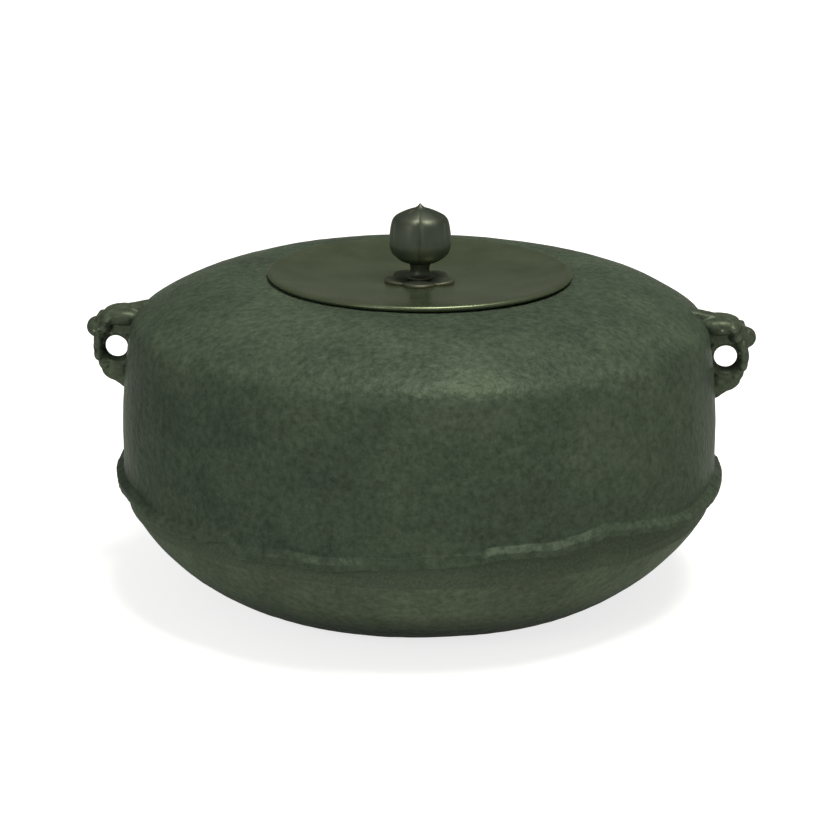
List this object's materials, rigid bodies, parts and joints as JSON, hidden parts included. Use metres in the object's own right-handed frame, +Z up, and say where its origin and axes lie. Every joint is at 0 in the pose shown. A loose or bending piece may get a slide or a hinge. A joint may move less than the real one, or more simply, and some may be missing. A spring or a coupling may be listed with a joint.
{
  "type": "tea ceremony kettle",
  "caption": "Wide low cast iron tea-ceremony kettle with mask ring lugs, a broken flange belt, a luted bottom bowl and a dished bronze lid with a bud knob, for boiling water to ladle out.",
  "frame": {"origin": "centre of the flat base, on the surface that the kettle stands on", "axes": "+Z up through the mouth and the knob, +X through the right lug, front of the picture on -Y"},
  "size_m": [0.2998, 0.2735, 0.1752],
  "materials": {
    "shell_iron": "fine sand-cast skin, dark lacquer-burned iron with an olive tone",
    "bottom_iron": "rougher sand-cast skin, dark olive iron",
    "lug_iron": "sand-cast, worn smooth on the raised forms",
    "lid_bronze": "smooth dark olive patina, semi-gloss",
    "rosette_bronze": "dark patina, polished on the petals' crowns",
    "knob_bronze": "dark brown patina, polished by handling",
    "washer_bronze": "plain filed bronze",
    "lute_lacquer": "lacquer mixed with iron filings, matt",
    "bed_lacquer": "dark lacquer",
    "plate_iron": "thin iron plate with a brown water skin"
  },
  "bodies": {
    "kettle": {"kettle_shell": "shell_iron", "kettle_bottom": "bottom_iron", "seam_lute": "lute_lacquer", "lug_left": "lug_iron", "lug_right": "lug_iron", "sounding_plate_1": "plate_iron", "sounding_plate_2": "plate_iron", "sounding_plate_3": "plate_iron", "sounding_plate_4": "plate_iron", "sounding_plate_5": "plate_iron", "sounding_plate_bed_1": "bed_lacquer", "sounding_plate_bed_2": "bed_lacquer", "sounding_plate_bed_3": "bed_lacquer", "sounding_plate_bed_4": "bed_lacquer", "sounding_plate_bed_5": "bed_lacquer"},
    "lid": {"lid_plate": "lid_bronze", "knob_rosette": "rosette_bronze"},
    "knob": {"lid_knob": "knob_bronze", "knob_back_washer": "washer_bronze"}
  },
  "joints": [
    {"name": "lid_lift", "type": "slide", "parent": "kettle", "child": "lid", "axis": [0, 0, 1], "range_m": [0, 0.12]},
    {"name": "knob_turn", "type": "hinge", "parent": "lid", "child": "knob", "pos_m": [0, 0, 0.15], "axis": [0, 0, 1], "continuous": true}
  ]
}
